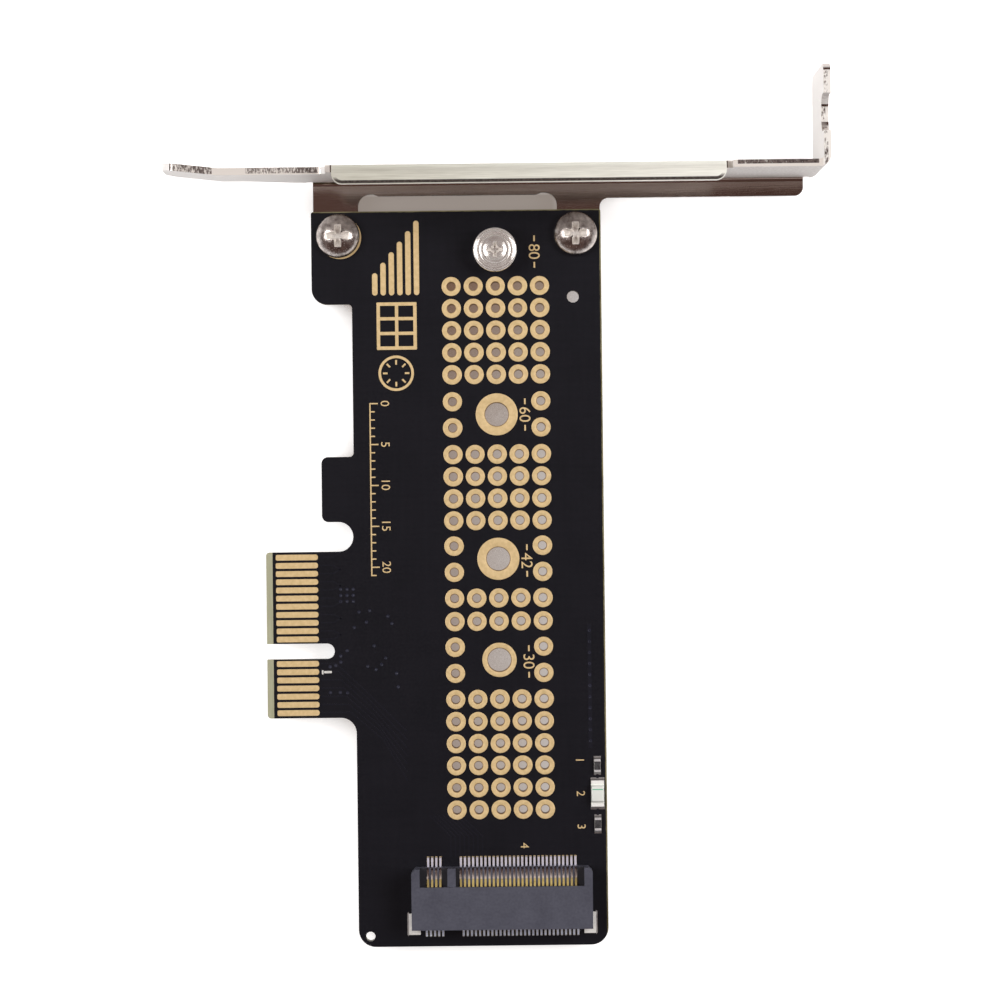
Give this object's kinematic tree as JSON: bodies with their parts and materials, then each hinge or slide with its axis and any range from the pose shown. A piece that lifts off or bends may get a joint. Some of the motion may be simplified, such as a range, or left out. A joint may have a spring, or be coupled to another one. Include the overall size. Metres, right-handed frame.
{
  "type": "M.2 adapter card",
  "caption": "Slim circuit board that seats a solid-state module flat on its face, with an edge connector on one side and a folded low-profile bracket at one end.",
  "frame": {"origin": "on the component face, on the key notch's centreline at the tips of the edge fingers", "axes": "+Z out of the component face, +Y from the key notch along the card towards the bracket, +X from the finger tips into the card"},
  "size_m": [0.0798, 0.1059, 0.0199],
  "materials": {
    "solder_mask": "black solder mask over glass-epoxy board, satin",
    "gold": "matte immersion gold",
    "nickel": "nickel-plated sheet steel, satin",
    "screw_nickel": "bright nickel-plated steel",
    "socket_plastic": "dark grey moulded liquid-crystal polymer",
    "contact_metal": "gold-flashed copper alloy",
    "tin": "matte tin and solder",
    "led_plastic": "white LED base",
    "led_resin": "clear resin lens",
    "resistor": "black overglaze on ceramic",
    "ceramic": "tan capacitor ceramic"
  },
  "bodies": {
    "root": {"circuit_board": "solder_mask", "edge_fingers_component_side": "gold", "edge_fingers_solder_side": "gold", "fixing_pads_component_side": "gold", "fixing_pads_solder_side": "gold", "bracket_screw_pads": "gold", "bracket": "nickel", "bracket_screws": "screw_nickel", "module_standoff": "screw_nickel", "module_screw": "screw_nickel", "standoff_nut": "screw_nickel", "socket_housing": "socket_plastic", "socket_contacts_front": "contact_metal", "socket_contacts_rear": "contact_metal", "socket_hold_down_left": "tin", "socket_hold_down_right": "tin", "led_base": "led_plastic", "led_lens": "led_resin", "led_terminals": "gold", "resistor_1_body": "resistor", "resistor_1_terminals": "tin", "resistor_2_body": "resistor", "resistor_2_terminals": "tin", "solder_component_side": "tin", "capacitor_bodies": "ceramic", "capacitor_terminals": "tin", "solder_solder_side": "tin"}
  },
  "joints": []
}
